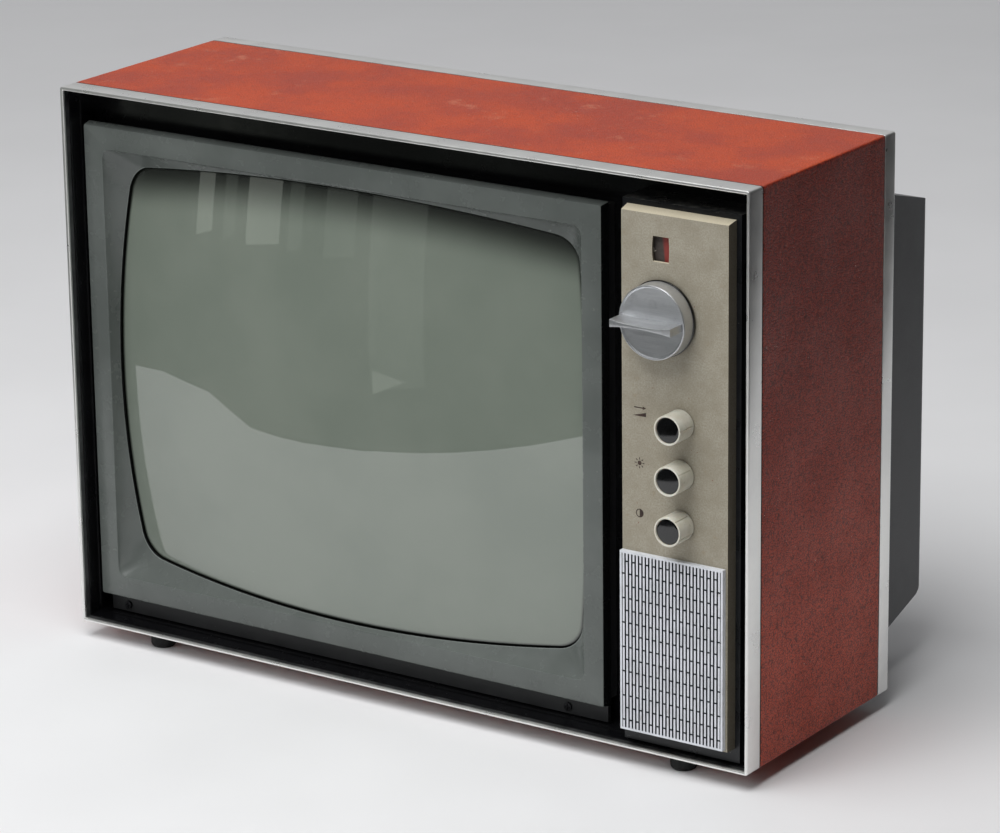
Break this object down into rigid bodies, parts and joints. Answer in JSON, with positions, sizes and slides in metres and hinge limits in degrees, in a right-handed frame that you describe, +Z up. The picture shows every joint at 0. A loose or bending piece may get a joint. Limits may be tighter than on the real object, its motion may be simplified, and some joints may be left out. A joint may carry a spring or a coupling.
{
  "type": "portable television",
  "caption": "Box-shaped portable television in leathercloth with a bowed screen, a control column with knobs and a grille, and a deep rear cover.",
  "frame": {"origin": "on the surface it stands on, below the middle of the whole width and depth", "axes": "+X to the right seen from the front, +Y to the back, +Z up"},
  "size_m": [0.55, 0.373, 0.4],
  "materials": {
    "leathercloth": "orange-red vinyl leathercloth, fine vertical grain, scuffed",
    "sleeve_steel": "primed sheet steel",
    "trim_aluminium": "satin, fine scratches",
    "black_metal": "satin black paint",
    "black_plastic": "satin black",
    "plinth_plastic": "glossy black",
    "bezel_plastic": "grey-green, soft sheen, dusty",
    "panel_enamel": "mottled champagne enamel, grimy",
    "grille_plastic": "silver-white bars over a navy ground",
    "grille_cloth": "dark open weave",
    "screen_glass": "grey-green tinted glass over phosphor",
    "funnel_glass": "glass with a black conductive coat",
    "steel": "zinc-plated",
    "dark_steel": "blackened",
    "rubber": "matt black",
    "ferrite": "dark grey ferrite",
    "winding": "lacquered copper wire",
    "brown_plastic": "brown phenolic",
    "board": "phenolic paper board",
    "valve_glass": "clear glass with a grey getter",
    "aluminium_can": "drawn can",
    "ceramic": "vitreous enamel",
    "nylon": "natural nylon",
    "knob_black": "glossy black",
    "knob_aluminium": "turned, satin face, bright rim",
    "knob_ivory": "ivory, slightly yellowed",
    "dial_plastic": "dark brown with a red sector",
    "contact_brass": "tinned brass",
    "cone_paper": "black paper pulp",
    "cover_plastic": "dark grey, fine texture"
  },
  "bodies": {
    "cabinet": {"cabinet_shell": "sleeve_steel", "leathercloth": "leathercloth", "front_trim": "trim_aluminium", "rear_trim": "trim_aluminium", "front_baffle": "black_metal", "mask_mount": "black_plastic", "screen_bezel": "bezel_plastic", "bezel_screws": "dark_steel", "control_plinth": "plinth_plastic", "control_panel": "panel_enamel", "speaker_grille": "grille_plastic", "grille_cloth": "grille_cloth", "tube_faceplate": "screen_glass", "tube_funnel": "funnel_glass", "electron_gun": "steel", "tube_rim_band": "steel", "tube_lug_screws": "steel", "tube_gasket": "rubber", "yoke_core": "ferrite", "yoke_coils": "winding", "centring_magnets": "ferrite", "tube_socket": "brown_plastic", "anode_cap": "rubber", "chassis_frame": "steel", "main_board": "board", "valves": "valve_glass", "line_output_transformer": "aluminium_can", "smoothing_capacitor": "aluminium_can", "mains_dropper": "ceramic", "tuner_case": "steel", "dial_axle": "steel", "mains_switch": "brown_plastic", "control_pots": "aluminium_can", "loudspeaker_frame": "steel", "loudspeaker_cone": "cone_paper", "loudspeaker_magnet": "ferrite", "rear_cover": "cover_plastic", "neck_cup": "cover_plastic", "mains_inlet": "brown_plastic", "aerial_socket": "contact_brass", "feet": "rubber", "case_screws": "steel"},
    "tuner": {"tuner_knob": "knob_black", "tuner_knob_cap": "knob_aluminium", "tuner_knob_grip": "knob_aluminium", "tuner_shaft": "steel", "tuner_pinion": "nylon", "tuner_turret": "brown_plastic"},
    "dial": {"channel_dial": "dial_plastic", "dial_gear": "nylon"},
    "volume_switch": {"volume_plunger": "contact_brass"},
    "volume": {"volume_knob": "knob_ivory", "volume_knob_cap": "knob_black", "volume_spindle": "steel"},
    "brightness": {"brightness_knob": "knob_ivory", "brightness_knob_cap": "knob_black", "brightness_spindle": "steel"},
    "contrast": {"contrast_knob": "knob_ivory", "contrast_knob_cap": "knob_black", "contrast_spindle": "steel"}
  },
  "joints": [
    {"name": "tuner_turn", "type": "hinge", "parent": "cabinet", "child": "tuner", "pos_m": [0.212, -0.1585, 0.3096], "axis": [0, 1, 0], "continuous": true},
    {"name": "dial_turn", "type": "hinge", "parent": "cabinet", "child": "dial", "pos_m": [0.212, -0.1585, 0.3395], "axis": [0, 1, 0], "continuous": true},
    {"name": "volume_pull", "type": "slide", "parent": "cabinet", "child": "volume_switch", "axis": [0, -1, 0], "range_m": [0, 0.0055]},
    {"name": "volume_turn", "type": "hinge", "parent": "volume_switch", "child": "volume", "pos_m": [0.226, -0.1585, 0.242], "axis": [0, 1, 0], "range_deg": [-140, 140]},
    {"name": "brightness_turn", "type": "hinge", "parent": "cabinet", "child": "brightness", "pos_m": [0.226, -0.1585, 0.2082], "axis": [0, 1, 0], "range_deg": [-140, 140]},
    {"name": "contrast_turn", "type": "hinge", "parent": "cabinet", "child": "contrast", "pos_m": [0.226, -0.1585, 0.1744], "axis": [0, 1, 0], "range_deg": [-140, 140]}
  ],
  "couplings": [
    {"joint": "dial_turn", "follows": "tuner_turn", "ratio": -1}
  ]
}
